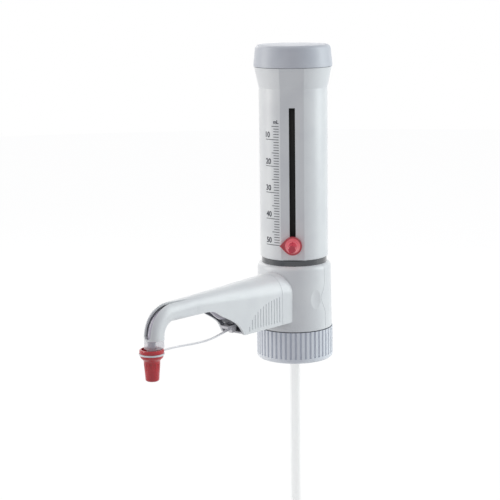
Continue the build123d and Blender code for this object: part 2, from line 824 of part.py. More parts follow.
def arm_tube(inset, start_s, end_z):
    """Straight run whose lower edges grow rounder, quarter bend and short drop to the nozzle."""
    bend_axis = Axis((-bend_s, 0, bend_z), (0, -1, 0))
    with BuildPart() as tube:
        for s, corner in ((start_s, arm_tube_edge), (bend_s, arm_tube_corner)):
            with BuildSketch(arm_plane(s)):
                add(arm_tube_section(inset, corner))
        loft(ruled=True)
        with BuildSketch(arm_plane(bend_s)):
            add(arm_tube_section(inset, arm_tube_corner))
        revolve(axis=bend_axis, revolution_arc=90)
        extrude(tube.faces().sort_by(Axis.Z)[0], amount=bend_z - end_z)
    return tube.part


def arch_window(top_z):
    """What the arched cut-out takes away below the narrow part of the arm."""
    curve = []
    for share in (0, 0.1, 0.3, 0.6, 1):
        height = (1 - (1 - share) ** window_power) ** (1 / window_power) * (top_z - arm_bottom_z)
        curve.append((-arm_gusset_s - share * window_length, arm_bottom_z + height))
    low_z = arm_bottom_z - 1
    with BuildPart() as window:
        with BuildSketch(Plane.XZ.offset(-arm_half_width_root - 2)):
            with BuildLine():
                Polyline(curve[-1], (-nozzle_s, top_z), (-nozzle_s, low_z), (-arm_gusset_s, low_z), curve[0])
                Spline(*curve, tangents=((-1, 1.3), (-1, 0)))
            make_face()
        extrude(amount=2 * arm_half_width_root + 4)
    return window.part


def outlet_slot():
    """Long tapered slot on the outside of the bend, pointed above and rounded below."""
    end_z = bend_z + outlet_slot_foot
    far_s = nozzle_s + arm_half_width_tip + 5
    start_s = outlet_slot_start_s + 1
    with BuildPart() as wedge:
        with BuildSketch(Plane.XY.offset(end_z)):
            Polygon(
                (-outlet_slot_start_s, -outlet_slot_tip_side),
                (-nozzle_s, outlet_slot_half_width),
                (-far_s, outlet_slot_half_width),
                (-far_s, -outlet_slot_half_width),
                (-nozzle_s, -outlet_slot_half_width),
                align=None,
            )
        extrude(amount=nozzle_drop)
        with BuildSketch(Plane(origin=(-nozzle_s, 0, end_z), x_dir=(0, -1, 0), z_dir=(-1, 0, 0))):
            Circle(outlet_slot_half_width)
        extrude(amount=far_s - nozzle_s)
        with BuildSketch(Plane.XZ.offset(-arm_half_width_root)):
            with BuildLine():
                CenterArc((-bend_s, bend_z), bend_radius, 90, 90)
                Polyline(
                    (-bend_s - bend_radius, bend_z),
                    (-bend_s - bend_radius, end_z - 5),
                    (-far_s, end_z - 5),
                    (-far_s, arm_ridge_tip_z + 5),
                    (-start_s, arm_ridge_tip_z + 5),
                    (-start_s, tube_axis_z),
                    (-bend_s, tube_axis_z),
                )
            make_face()
        extrude(amount=2 * arm_half_width_root, mode=Mode.INTERSECT)
    return wedge.part


def side_ribs():
    """Row of upright grip grooves on both sides of the gusset, ending on a curve."""
    with BuildPart() as grooves:
        for index in range(rib_count):
            s = arm_parting_s + rib_start + index * rib_pitch
            half_width = arm_size(s)[0]
            top_z = arm_bottom_z + rib_arc_height * sqrt(1 - ((s - arm_parting_s) / rib_arc_length) ** 2)
            low_z = arm_bottom_z + min(rib_foot, (top_z - arm_bottom_z) / 3)
            for side in (1, -1):
                with Locations((-s, side * half_width, (top_z + low_z) / 2)):
                    Box(rib_width, 2 * rib_depth, top_z - low_z)
    return grooves.part


with BuildPart() as arm_shell:
    add(arm_loft(arm_parting_s, arm_tube_s, 0, arm_bottom_z))
    add(arch_window(arm_tube_bottom_z), mode=Mode.SUBTRACT)
    add(arm_tube(0, arm_tube_s, arm_end_z))
    add(arm_loft(arm_parting_s - 1, arm_tube_s, arm_wall, arm_bottom_z - 1), mode=Mode.SUBTRACT)
    add(arm_tube(arm_tube_wall, arm_tube_s - 0.5, arm_end_z - 1), mode=Mode.SUBTRACT)
    add(outlet_slot(), mode=Mode.SUBTRACT)
    add(side_ribs(), mode=Mode.SUBTRACT)
finish(arm_shell, "arm_shell")

with BuildPart() as block_seat:
    add(offset(block_outer.part, amount=stop_gap, mode=Mode.PRIVATE))

with BuildPart() as arm_collar:
    add(arm_loft(arm_root_s - 8, arm_parting_s - parting_gap, 0, arm_bottom_z))
    add(arm_loft(arm_root_s - 9, arm_parting_s, arm_wall, arm_bottom_z - 1), mode=Mode.SUBTRACT)
    add(block_seat.part, mode=Mode.SUBTRACT)
finish(arm_collar, "arm_collar")

# --- discharge valve -----------------------------------------------------------------------------------


def arm_revolved(points):
    """Turn a closed (s, radius) outline round the discharge valve's axis."""
    with BuildPart() as turned:
        with BuildSketch(Plane.XZ):
            with BuildLine():
                Polyline(*[(-s, valve_axis_z + radius) for s, radius in points], close=True)
            make_face()
        revolve(axis=Axis((0, 0, valve_axis_z), (1, 0, 0)))
    return turned.part


with BuildPart() as discharge_valve_body:
    add(arm_revolved([
        (valve_stem_s, ball_seat_bore),
        (valve_stem_s, valve_stem_radius),
        (valve_flange_s, valve_stem_radius),
        (valve_flange_s, valve_body_radius),
        (chamber_end_s, valve_body_radius),
        (chamber_end_s, outlet_chamber_radius),
        (outlet_seat_s, outlet_chamber_radius),
        (outlet_seat_s, ball_seat_bore),
    ]))
    with BuildSketch(arm_axis_plane.offset(valve_flange_s)):
        RegularPolygon(valve_hex_radius, 6)
        Circle(valve_stem_radius - stop_gap, mode=Mode.SUBTRACT)
    extrude(amount=valve_hex_width)
finish(discharge_valve_body, "discharge_valve_body")

with BuildPart() as discharge_ball:
    with Locations((-outlet_ball_s, 0, valve_axis_z)):
        Sphere(outlet_ball_radius)
finish(discharge_ball, "discharge_ball")

with BuildPart() as discharge_spring:
    with BuildLine():
        coil = Helix(
            pitch=spring_length / spring_turns,
            height=spring_length,
            radius=coil_radius,
            center=(-spring_start_s, 0, valve_axis_z),
            direction=(-1, 0, 0),
        )
    with BuildSketch(Plane(origin=coil @ 0, z_dir=coil % 0)):
        RegularPolygon(spring_wire / 2, 6)
    sweep(path=coil, is_frenet=True)
finish(discharge_spring, "discharge_spring")

with BuildPart() as discharge_connector:
    add(arm_revolved([
        (connector_plug_s, tube_bore),
        (connector_plug_s, outlet_chamber_radius - stop_gap),
        (chamber_end_s + stop_gap, outlet_chamber_radius - stop_gap),
        (chamber_end_s + stop_gap, connector_radius),
        (valve_nut_start_s - stop_gap, connector_radius),
        (valve_nut_start_s - stop_gap, connector_nose_radius),
        (connector_nose_s, connector_nose_radius),
        (connector_nose_s, tube_bore),
    ]))
finish(discharge_connector, "discharge_connector")

with BuildPart() as union_nut:
    add(arm_revolved([
        (valve_nut_start_s, connector_nose_radius + stop_gap),
        (valve_nut_start_s, valve_nut_radius),
        (valve_nut_end_s - 2, valve_nut_radius),
        (valve_nut_end_s, valve_nut_radius - 2),
        (valve_nut_end_s, tube_radius + stop_gap),
        (connector_nose_s + running_gap, tube_radius + stop_gap),
        (connector_nose_s + running_gap, connector_nose_radius + stop_gap),
    ]))
    with BuildSketch(arm_axis_plane.offset(valve_nut_start_s + 2)):
        with PolarLocations(valve_nut_radius + 0.4, valve_nut_flutes):
            Circle(0.8)
    extrude(amount=valve_nut_end_s - valve_nut_start_s, mode=Mode.SUBTRACT)
finish(union_nut, "union_nut")

with BuildPart() as discharge_tube:
    with BuildLine(Plane.XZ):
        rise = FilletPolyline(
            (-connector_nose_s - 2 * stop_gap, valve_axis_z),
            (-tube_rise_start_s, valve_axis_z),
            (-tube_rise_end_s, tube_axis_z),
            (-nozzle_s, tube_axis_z),
            (-nozzle_s, tube_end_z),
            radius=(tube_rise_radius, tube_rise_radius, bend_radius),
        )
    with BuildSketch(arm_axis_plane.offset(connector_nose_s + 2 * stop_gap)):
        Circle(tube_radius)
        Circle(tube_bore, mode=Mode.SUBTRACT)
    sweep(path=rise)
finish(discharge_tube, "discharge_tube")

# --- nozzle, closure cap, tether -------------------------------------------------------------------------


def nozzle_revolved(points):
    """Turn a closed (radius, height) outline round the nozzle's axis."""
    with BuildPart() as turned:
        with BuildSketch(Plane.XZ):
            with BuildLine():
                Polyline(*[(radius - nozzle_s, z) for radius, z in points], close=True)
            make_face()
        revolve(axis=Axis((-nozzle_s, 0, 0), (0, 0, 1)))
    return turned.part


drop_plane = Plane(origin=(bend_z - bend_s, 0, arm_end_z - stop_gap), x_dir=(0, -1, 0), z_dir=(0, 0, -1))

with BuildPart() as nozzle_tip:
    with BuildSketch(drop_plane):
        add(arm_tube_section(socket_inset, arm_tube_corner))
    extrude(amount=socket_height - stop_gap)
    add(nozzle_revolved([
        (0, spigot_tip_z),
        (spigot_radius - 0.5, spigot_tip_z),
        (spigot_radius, spigot_tip_z + 1),
        (spigot_radius, socket_bottom_z + 1),
        (0, socket_bottom_z + 1),
    ]))
    add(nozzle_revolved([
        (0, spigot_tip_z - 1),
        (spigot_bore, spigot_tip_z - 1),
        (spigot_bore, tube_end_z - stop_gap),
        (tube_radius + stop_gap, tube_end_z - stop_gap),
        (tube_radius + stop_gap, arm_end_z + 1),
        (0, arm_end_z + 1),
    ]), mode=Mode.SUBTRACT)
finish(nozzle_tip, "nozzle_tip")

closure_skirt_radius = closure_neck_radius + closure_skirt_width
shoulder_z = neck_bottom_z - closure_skirt_height
recess_floor_z = closure_top_z - closure_mouth_depth
flute_top_z = shoulder_z - closure_flute_radius

with BuildPart() as closure_cap:
    with BuildSketch(Plane.XZ):
        with BuildLine():
            lower = [
                (0, closure_bottom_z),
                (closure_tip_radius - closure_bevel, closure_bottom_z),
                (closure_tip_radius, closure_bottom_z + closure_bevel),
                (closure_grip_radius, shoulder_z),
            ]
            upper = [
                (closure_skirt_radius, neck_bottom_z - closure_bevel),
                (closure_skirt_radius, neck_bottom_z),
                (closure_neck_radius, neck_bottom_z),
                (closure_neck_radius, neck_top_z),
                (closure_flange_radius, neck_top_z),
                (closure_flange_radius, closure_top_z - closure_bevel),
                (closure_flange_radius - closure_bevel, closure_top_z),
                (closure_mouth_radius, closure_top_z),
                (closure_mouth_radius, recess_floor_z),
                (spigot_radius + running_gap, recess_floor_z),
                (spigot_radius + running_gap, spigot_tip_z - 0.5),
                (0, spigot_tip_z - 0.5),
                (0, closure_bottom_z),
            ]
            Polyline(*[(radius - nozzle_s, z) for radius, z in lower])
            Spline(
                (closure_grip_radius - nozzle_s, shoulder_z),
                (closure_skirt_radius - nozzle_s, neck_bottom_z - closure_bevel),
                tangents=((0.1, 1), (0.1, 1)),
            )
            Polyline(*[(radius - nozzle_s, z) for radius, z in upper])
        make_face()
    revolve(axis=Axis((-nozzle_s, 0, 0), (0, 0, 1)))
    with BuildSketch(Plane(origin=(-nozzle_s, 0, closure_bottom_z - 1))):
        with PolarLocations(closure_grip_radius + 0.25, closure_flutes):
            Circle(closure_flute_radius)
    extrude(amount=flute_top_z - closure_bottom_z + 1, mode=Mode.SUBTRACT)
finish(closure_cap, "closure_cap")

with BuildPart() as tether_ring:
    add(nozzle_revolved([
        (tether_ring_bore, tether_ring_z - tether_ring_height / 2),
        (tether_ring_bore + tether_ring_width, tether_ring_z - tether_ring_height / 2),
        (tether_ring_bore + tether_ring_width, tether_ring_z + tether_ring_height / 2),
        (tether_ring_bore, tether_ring_z + tether_ring_height / 2),
    ]))
    lug_s = nozzle_s - tether_ring_bore - tether_ring_width
    with Locations((-lug_s + 0.5, 0, tether_ring_z)):
        Box(1.8, 1.8, tether_ring_height)
finish(tether_ring, "tether_ring")

tether_lug_s = lug_s - 1.4
anchor_lug_s = anchor_face_s - anchor_lug_width / 2

with BuildPart() as tether_anchor:
    anchor_top_z = valve_axis_z - valve_nut_radius - seat_gap
    cover_bottom_z = arm_bottom_z + cover_rise
    lug_bottom_z = cover_bottom_z + cover_thickness / 2
    plate_z = anchor_top_z - anchor_plate_thickness / 2
    with Locations((-anchor_face_s - 1, 0, plate_z)):
        Box(12, 6, anchor_plate_thickness)
    with Locations((-anchor_lug_s, 0, (plate_z + lug_bottom_z) / 2)):
        Box(anchor_lug_width, 2.6, plate_z - lug_bottom_z)
    for shift in (2.2, 4.8):
        with Locations((-anchor_face_s - shift, 0, anchor_top_z - anchor_plate_thickness)):
            Cylinder(0.9, 1.2)
    with BuildSketch(Plane.XY.offset(cover_bottom_z)):
        cover_start_s = arm_parting_s + 1
        near_half = arm_size(cover_start_s)[0] - arm_wall - seat_gap
        far_half = arm_size(cover_end_s)[0] - arm_wall - seat_gap
        Polygon(
            (-cover_start_s, near_half),
            (-cover_start_s, -near_half),
            (-cover_end_s, -far_half),
            (-cover_end_s, far_half),
            align=None,
        )
    extrude(amount=cover_thickness)
finish(tether_anchor, "tether_anchor")

tether_points = [
    (-anchor_face_s - stop_gap, 0, anchor_z),
    (-82.5, 0, 33.4),
    (-91, 0, 32.0),
    (-101, 0, 31.3),
    (-112.5, 0, 31.8),
    (-125, 0, 33.0),
    (-137.5, 0, 34.0),
    (-tether_lug_s + stop_gap, 0, tether_ring_z),
]


def route_radii(points):
    """Largest bend radius that each corner's two runs allow."""
    radii = []
    for before, corner, after in zip(points, points[1:], points[2:]):
        run_in = Vector(*corner) - Vector(*before)
        run_out = Vector(*after) - Vector(*corner)
        half_turn = radians(run_in.get_angle(run_out)) / 2
        radii.append(0.45 * min(run_in.length, run_out.length) / tan(half_turn))
    return radii


with BuildPart() as tether_strap:
    tether_radii = route_radii(tether_points)
    print("tether radii", [round(radius, 1) for radius in tether_radii])
    with BuildLine():
        tether_path = FilletPolyline(*tether_points, radius=tether_radii)
    print("tether length", round(tether_path.length, 1))
    with BuildSketch(Plane(origin=tether_points[0], z_dir=tether_path % 0)):
        Circle(tether_diameter / 2)
    sweep(path=tether_path)
finish(tether_strap, "tether_strap")

# --- filling valve and telescopic tube ------------------------------------------------------------------

inlet_flange_top_z = pocket_top_z - stop_gap

with BuildPart() as inlet_valve_body:
    add(revolved([
        (inlet_chamber_radius, inlet_seat_z),
        (inlet_body_radius, inlet_seat_z),
        (inlet_body_radius, inlet_flange_top_z - inlet_flange_height),
        (inlet_flange_radius, inlet_flange_top_z - inlet_flange_height),
        (inlet_flange_radius, inlet_flange_top_z),
        (inlet_body_radius - inlet_neck_wall, inlet_flange_top_z),
        (inlet_body_radius - inlet_neck_wall, pocket_top_z + inlet_neck_height),
        (inlet_bore, pocket_top_z + inlet_neck_height),
        (inlet_bore, inlet_seat_z + inlet_chamber_height),
        (inlet_chamber_radius, inlet_seat_z + inlet_chamber_height),
    ]))
finish(inlet_valve_body, "inlet_valve_body")

with BuildPart() as inlet_valve_seat:
    add(revolved([
        (ball_seat_bore, nipple_tip_z),
        (nipple_radius - nipple_taper, nipple_tip_z),
        (nipple_radius, nipple_tip_z + 1),
        (nipple_radius, seat_block_z + stop_gap),
        (inlet_body_radius, seat_block_z + stop_gap),
        (inlet_body_radius, inlet_seat_z - stop_gap),
        (ball_seat_bore, inlet_seat_z - stop_gap),
    ]))
finish(inlet_valve_seat, "inlet_valve_seat")

inlet_ball_z = inlet_seat_z - stop_gap / 2 + sqrt(inlet_ball_radius**2 - ball_seat_bore**2)

with BuildPart() as inlet_ball:
    with Locations((0, 0, inlet_ball_z)):
        Sphere(inlet_ball_radius)
finish(inlet_ball, "inlet_ball")

with BuildPart() as filling_tube_outer:
    with BuildSketch(Plane.XY.offset(fill_tube_bottom_z)):
        Circle(fill_tube_radius)
        Circle(fill_tube_radius - fill_tube_wall, mode=Mode.SUBTRACT)
    extrude(amount=fill_tube_length)
finish(filling_tube_outer, "filling_tube_outer")

with BuildPart() as filling_tube_inner:
    with BuildSketch(Plane.XY.offset(inner_tube_bottom_z)):
        Circle(inner_tube_radius)
        Circle(inner_tube_radius - fill_tube_wall, mode=Mode.SUBTRACT)
    extrude(amount=inner_tube_top_z - inner_tube_bottom_z)
finish(filling_tube_inner, "filling_tube_inner")
print("filling tube travel", round(fill_tube_travel, 1))
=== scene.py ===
import bpy
import json
from math import cos, pi, radians, sin
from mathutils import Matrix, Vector


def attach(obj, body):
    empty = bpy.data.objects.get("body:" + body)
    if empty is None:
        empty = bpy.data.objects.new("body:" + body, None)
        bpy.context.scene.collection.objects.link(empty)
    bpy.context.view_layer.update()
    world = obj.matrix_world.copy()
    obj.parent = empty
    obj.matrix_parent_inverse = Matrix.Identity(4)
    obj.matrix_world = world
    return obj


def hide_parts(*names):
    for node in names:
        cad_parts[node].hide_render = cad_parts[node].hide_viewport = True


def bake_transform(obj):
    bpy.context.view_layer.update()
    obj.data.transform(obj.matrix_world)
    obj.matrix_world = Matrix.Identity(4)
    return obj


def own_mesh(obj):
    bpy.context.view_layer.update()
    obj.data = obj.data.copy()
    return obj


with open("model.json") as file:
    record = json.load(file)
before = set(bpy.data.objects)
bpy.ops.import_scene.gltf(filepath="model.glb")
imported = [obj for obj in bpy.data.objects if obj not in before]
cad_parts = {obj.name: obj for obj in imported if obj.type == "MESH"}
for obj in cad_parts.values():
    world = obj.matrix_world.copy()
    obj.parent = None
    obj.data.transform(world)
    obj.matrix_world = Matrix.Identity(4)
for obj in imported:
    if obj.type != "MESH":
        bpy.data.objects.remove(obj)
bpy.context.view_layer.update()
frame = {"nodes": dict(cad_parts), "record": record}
bpy.ops.object.select_all(action="DESELECT")
nodes = frame["nodes"]
print("frame loaded,", len(nodes), "CAD nodes")


cameraSettings = {
    "place": (-0.86095, -0.62552, 0.27839),
    "turn": (79.3349, 0.7121, -52.4194),  # degrees
    "lens": 108.07,
    "sensor": 36.0,
    "nearest": 0.01,
    "farthest": 50,
}


def addCamera(settings):
    turn = [radians(angle) for angle in settings["turn"]]
    bpy.ops.object.camera_add(location=settings["place"], rotation=turn)
    camera = bpy.context.object
    camera.data.lens = settings["lens"]
    camera.data.sensor_width = settings["sensor"]
    camera.data.clip_start = settings["nearest"]
    camera.data.clip_end = settings["farthest"]
    bpy.context.scene.camera = camera
    print("camera set")


addCamera(cameraSettings)


class Wire:
    # a shader socket that takes part in sums
    def __init__(self, sheet, socket):
        self.sheet = sheet
        self.socket = socket

    def join(self, operation, first, second):
        return self.sheet.add("ShaderNodeMath", {"operation": operation}, {0: first, 1: second})

    def __add__(self, other):
        return self.join("ADD", self, other)

    def __radd__(self, other):
        return self.join("ADD", other, self)

    def __sub__(self, other):
        return self.join("SUBTRACT", self, other)

    def __rsub__(self, other):
        return self.join("SUBTRACT", other, self)

    def __mul__(self, other):
        return self.join("MULTIPLY", self, other)

    def __rmul__(self, other):
        return self.join("MULTIPLY", other, self)

    def __pow__(self, other):
        return self.join("POWER", self, other)

    def flipped(self):
        return 1 - self

    def between(self, low, high):
        # 0 below low, 1 above high
        return self.sheet.add(
            "ShaderNodeMapRange", {"interpolation_type": "SMOOTHSTEP"},
            {"Value": self, "From Min": low, "From Max": high})


class Sheet:
    # the node tree of a material or of the room
    def __init__(self, owner):
        owner.use_nodes = True
        self.tree = owner.node_tree
        self.tree.nodes.clear()

    def add(self, kind, settings, inputs, output=0):
        made = self.tree.nodes.new(kind)
        for key, value in settings.items():
            setattr(made, key, value)
        for key, value in inputs.items():
            if isinstance(value, Wire):
                self.tree.links.new(value.socket, made.inputs[key])
            else:
                made.inputs[key].default_value = value
        return None if output is None else Wire(self, made.outputs[output])

    def seenBy(self, kinds):
        # 1 for the kinds of ray that see the pale background
        seen = 0.0
        for kind in kinds:
            ray = self.add("ShaderNodeLightPath", {}, {}, f"Is {kind} Ray")
            seen = ray.join("MAXIMUM", seen, ray)
        return seen


class Finish(Sheet):
    # the node tree of one material
    def __init__(self, name):
        self.material = bpy.data.materials.new(name)
        super().__init__(self.material)
        self.place = self.add("ShaderNodeTexCoord", {}, {}, "Object")

    def axes(self):
        # the three coordinates of a point, each as a value
        return [self.add("ShaderNodeSeparateXYZ", {}, {"Vector": self.place}, i) for i in range(3)]

    def noise(self, scale, detail=3.0, roughness=0.5):
        return self.noiseAt(self.place, scale, detail, roughness)

    def noiseAt(self, place, scale, detail, roughness):
        sides = {"Vector": place, "Scale": scale, "Detail": detail, "Roughness": roughness}
        return self.add("ShaderNodeTexNoise", {}, sides)

    def drawn(self, stretch, detail):
        # noise pulled out into lines, finer along the axes with the larger numbers
        place = self.add("ShaderNodeMapping", {}, {"Vector": self.place, "Scale": stretch})
        return self.noiseAt(place, 1, detail, 0.6)

    def mix(self, amount, first, second):
        # sockets 6 and 7 and output 2 are the node's colours
        sides = {0: amount, 6: self.colour(first), 7: self.colour(second)}
        return self.add("ShaderNodeMix", {"data_type": "RGBA"}, sides, 2)

    def colour(self, value):
        return value if isinstance(value, Wire) else (*value, 1)

    def bump(self, height, distance):
        sides = {"Height": height, "Distance": distance, "Strength": 1.0}
        return self.add("ShaderNodeBump", {}, sides)

    def end(self, inputs):
        shader = self.add("ShaderNodeBsdfPrincipled", {}, inputs)
        self.add("ShaderNodeOutputMaterial", {}, {"Surface": shader}, None)
        return self.material


def tone(red, green, blue):
    # a screen colour, 0 to 255, on the shader's even scale
    def line(value):
        share = value / 255
        return share / 12.92 if share <= 0.04045 else ((share + 0.055) / 1.055) ** 2.4
    return line(red), line(green), line(blue)


whiteLook = {
    "light": tone(233, 236, 237), "dark": tone(227, 230, 232), "fleck": tone(210, 214, 217),
    "roughness": 0.36, "spread": 0.10, "grain": 2600, "depth": 0.00002, "coat": 0.15,
}
blueGreyLook = {
    "light": tone(207, 211, 218), "dark": tone(198, 203, 211), "fleck": tone(182, 188, 197),
    "roughness": 0.42, "spread": 0.12, "grain": 2200, "depth": 0.00003, "coat": 0.1,
}
ringLook = {
    "light": tone(232, 237, 243), "dark": tone(226, 231, 238), "fleck": tone(206, 211, 219),
    "roughness": 0.36, "spread": 0.12, "grain": 2200, "depth": 0.00003, "coat": 0.25,
    # painted shade for the deeper flutes
    "shade": tone(198, 204, 215),
}
armLook = {
    "light": tone(233, 236, 237), "dark": tone(227, 230, 232), "fleck": tone(210, 214, 217),
    "roughness": 0.36, "spread": 0.10, "grain": 2600, "depth": 0.00002, "coat": 0.15,
    # painted shade for the inside of the arm
    "shade": tone(134, 136, 143),
}
darkLook = {
    "light": tone(58, 62, 68), "dark": tone(50, 54, 60), "fleck": tone(36, 39, 45),
    "roughness": 0.2, "spread": 0.1, "grain": 2400, "depth": 0.00001, "coat": 0.8,
}
# painted shade and glints: the valve's tones are darkened for the shade inside the arm, and its
# pale flecks are painted glints
valveShadeLook = {
    "light": tone(150, 152, 158), "dark": tone(92, 94, 100), "fleck": tone(226, 228, 230),
    "roughness": 0.24, "spread": 0.14, "grain": 900, "depth": 0.00006, "coat": 0.3,
}
capRedLook = {
    "light": tone(196, 16, 38), "dark": tone(178, 10, 30), "fleck": tone(150, 14, 32),
    "roughness": 0.22, "spread": 0.08, "grain": 2600, "depth": 0.00001, "coat": 0.3,
}
knobRedLook = {
    "light": tone(206, 34, 66), "dark": tone(184, 24, 54), "fleck": tone(150, 16, 42),
    "roughness": 0.24, "spread": 0.1, "grain": 2600, "depth": 0.00002, "coat": 0.4,
}
tubeLook = {
    "light": tone(196, 193, 205), "dark": tone(182, 179, 192), "fleck": tone(160, 158, 170),
    "roughness": 0.22, "spread": 0.1, "grain": 1200, "depth": 0.00001, "coat": 0.5,
}
tetherLook = {
    "light": tone(234, 234, 237), "dark": tone(224, 224, 228), "fleck": tone(206, 206, 211),
    "roughness": 0.4, "spread": 0.1, "grain": 3000, "depth": 0.00002, "coat": 0.1,
}


moulding = {
    # what all the moulded plastics share
    "driftScale": 38, "drift": (0.35, 0.65),
    "fleckScale": 900, "flecks": (0.68, 0.78), "fleckShare": 0.35,
    "rubScale": 120, "grainGloss": 0.06, "coatRoughness": 0.25,
}


def mouldedPlastic(name, look, paintedShadeMask=None):
    # satin moulding: slow tone drift, a few flecks and fine spark-eroded grain
    # the optional mask marks recesses that get painted shade, the look's shade tone
    finish = Finish(name)
    drift = finish.noise(moulding["driftScale"], 2).between(*moulding["drift"])
    fleck = finish.noise(moulding["fleckScale"], 1).between(*moulding["flecks"])
    grain = finish.noise(look["grain"], 4, 0.62)
    rub = finish.noise(moulding["rubScale"], 5, 0.7)
    colour = finish.mix(drift, look["dark"], look["light"])
    colour = finish.mix(fleck * moulding["fleckShare"], colour, look["fleck"])
    # painted shade in the recesses the mask marks
    if paintedShadeMask:
        colour = finish.mix(paintedShadeMask(finish), colour, look["shade"])
    gloss = (rub - 0.5) * look["spread"] + (grain - 0.5) * moulding["grainGloss"]
    return finish.end({
        "Base Color": colour,
        "Roughness": look["roughness"] + gloss,
        "Coat Weight": look["coat"],
        "Coat Roughness": moulding["coatRoughness"],
        "Normal": finish.bump(grain, look["depth"]),
    })


grip = {
    "ribs": (0.0269, 0.0273),  # radii between which a flute turns into a rib
    "foot": (0.002, 0.0034),  # heights between which the flutes begin
}


# painted shade: points below the ribs' radius and above the foot get the darker shade tone
def gripFlutes(finish):
    x, y, z = finish.axes()
    radius = (x * x + y * y) ** 0.5
    return (1 - radius.between(*grip["ribs"])) * z.between(*grip["foot"])


# the arm's inside, which gets painted shade
armInside = {
    "rootWidth": 0.0146, "rootReach": 0.0226, "taper": 0.08805,  # half width and how it narrows
    "ridge": 0.0658,
    "wall": (0.0013, 0.0016),  # depths between which the outside turns into the inside
    "end": (0.112, 0.118),
}


# painted shade: points inside the arm, deeper than its wall and short of its end, get the darker
# shade tone
def armHollow(finish):
    x, y, z = finish.axes()
    half = armInside["rootWidth"] - (0 - x - armInside["rootReach"]) * armInside["taper"]
    above = z - (armInside["ridge"] - half)
    above = above.join("MAXIMUM", above, 0.0)
    depth = half - (y * y + above * above) ** 0.5
    return depth.between(*armInside["wall"]) * (0 - x).between(*armInside["end"]).flipped()


rubberLook = {
    "bloomScale": 160, "bloom": (0.45, 0.75),
    "roughness": 0.62, "spread": 0.2, "grain": 1800, "depth": 0.00003,
}


def rubber(name, colour, worn):
    # matt skin with a faint bloom
    look = rubberLook
    finish = Finish(name)
    bloom = finish.noise(look["bloomScale"], 5, 0.6)
    return finish.end({
        "Base Color": finish.mix(bloom.between(*look["bloom"]), colour, worn),
        "Roughness": look["roughness"] + (bloom - 0.5) * look["spread"],
        "Normal": finish.bump(finish.noise(look["grain"], 3), look["depth"]),
    })


glassLook = {
    "colour": tone(226, 236, 240), "pale": tone(236, 242, 245),
    "drawn": (900, 900, 12), "hazeScale": 60,
    "roughness": 0.05, "spread": 0.08, "depth": 0.000015,
    "cover": 0.95, "index": 1.45,
}


def clearGlass(name, look):
    # see-through wall with faint draw lines along the axis
    finish = Finish(name)
    draw = finish.drawn(look["drawn"], 3)
    haze = finish.noise(look["hazeScale"], 4, 0.6)
    return finish.end({
        "Base Color": finish.mix(haze, look["colour"], look["pale"]),
        "Roughness": look["roughness"] + (draw - 0.5) * look["spread"],
        "Transmission Weight": look["cover"],
        "IOR": look["index"],
        "Normal": finish.bump(draw, look["depth"]),
    })


milkyLook = {
    # what the thin translucent walls share
    "drawn": (1400, 1400, 14), "hazeScale": 45, "haze": (0.3, 0.7),
    "roughness": 0.2, "spread": 0.12, "depth": 0.000015, "index": 1.34,
}


def milkyTube(name, colour, pale, cover):
    # thin translucent wall: mostly what lies behind it, with a cool cast and faint draw lines
    look = milkyLook
    finish = Finish(name)
    draw = finish.drawn(look["drawn"], 3)
    haze = finish.noise(look["hazeScale"], 4, 0.6)
    return finish.end({
        "Base Color": finish.mix(haze.between(*look["haze"]), colour, pale),
        "Roughness": look["roughness"] + (draw - 0.5) * look["spread"],
        "Alpha": cover,
        "IOR": look["index"],
        "Normal": finish.bump(draw, look["depth"]),
    })


pointerLook = {
    "facing": radians(213.6),  # angle round the main axis
    "height": 0.0851,
    "dish": (0.0050, 0.0057),  # radii between which the rim begins
    "paintedLightDepth": (-0.002, 0.005),  # how far down the bowl gets its low tone, a paler tone of painted light
    "rim": tone(168, 26, 48), "bowl": tone(246, 122, 135), "low": tone(255, 168, 174),
    "mark": tone(196, 52, 70), "markFoot": (0.0016, 0.002), "markTop": (0.0032, 0.0038),
    "markHalf": 0.0004, "markShare": 0.7,
    "swirlScale": 260, "swirl": (0.4, 0.8), "swirlShare": 0.3,
    "roughness": 0.12, "spread": 0.06, "grain": 1500, "depth": 0.00001,
    # glow: the whole part gives off its own colour faintly, painted light
    "glow": 0.16, "coat": 0.5,
}


def redPointer(name, look):
    # tinted see-through teardrop with a thin dish and a deep red rim and tip; the paler low bowl
    # and a faint glow over the whole part are painted light
    finish = Finish(name)
    x, y, z = finish.axes()
    across = y * cos(look["facing"]) - x * sin(look["facing"])
    up = z - look["height"]
    rim = ((across * across + up * up) ** 0.5).between(*look["dish"])
    swirl = finish.noise(look["swirlScale"], 3, 0.5)
    mark = up.between(*look["markFoot"]) * up.between(*look["markTop"]).flipped()
    mark = mark * (across * across).between(0.0, look["markHalf"] ** 2).flipped()
    # painted light: the bowl pales towards its bottom
    bowl = finish.mix((up * -1).between(*look["paintedLightDepth"]), look["bowl"], look["low"])
    bowl = finish.mix(swirl.between(*look["swirl"]) * look["swirlShare"], bowl, look["rim"])
    bowl = finish.mix(mark * look["markShare"], bowl, look["mark"])
    colour = finish.mix(rim, bowl, look["rim"])
    return finish.end({
        "Base Color": colour,
        "Roughness": look["roughness"] + (swirl - 0.5) * look["spread"],
        # painted glow
        "Emission Color": colour,
        "Emission Strength": look["glow"],
        "Coat Weight": look["coat"],
        "Normal": finish.bump(finish.noise(look["grain"], 2), look["depth"]),
    })


wireLook = {
    "light": tone(206, 207, 210), "dark": tone(176, 178, 182),
    "drawn": (300, 4000, 4000), "roughness": 0.22, "spread": 0.2, "depth": 0.00001,
}


def drawnWire(name, look):
    finish = Finish(name)
    lines = finish.drawn(look["drawn"], 4)
    return finish.end({
        "Base Color": finish.mix(lines, look["dark"], look["light"]),
        "Metallic": 1.0,
        "Roughness": look["roughness"] + lines * look["spread"],
        "Normal": finish.bump(lines, look["depth"]),
    })


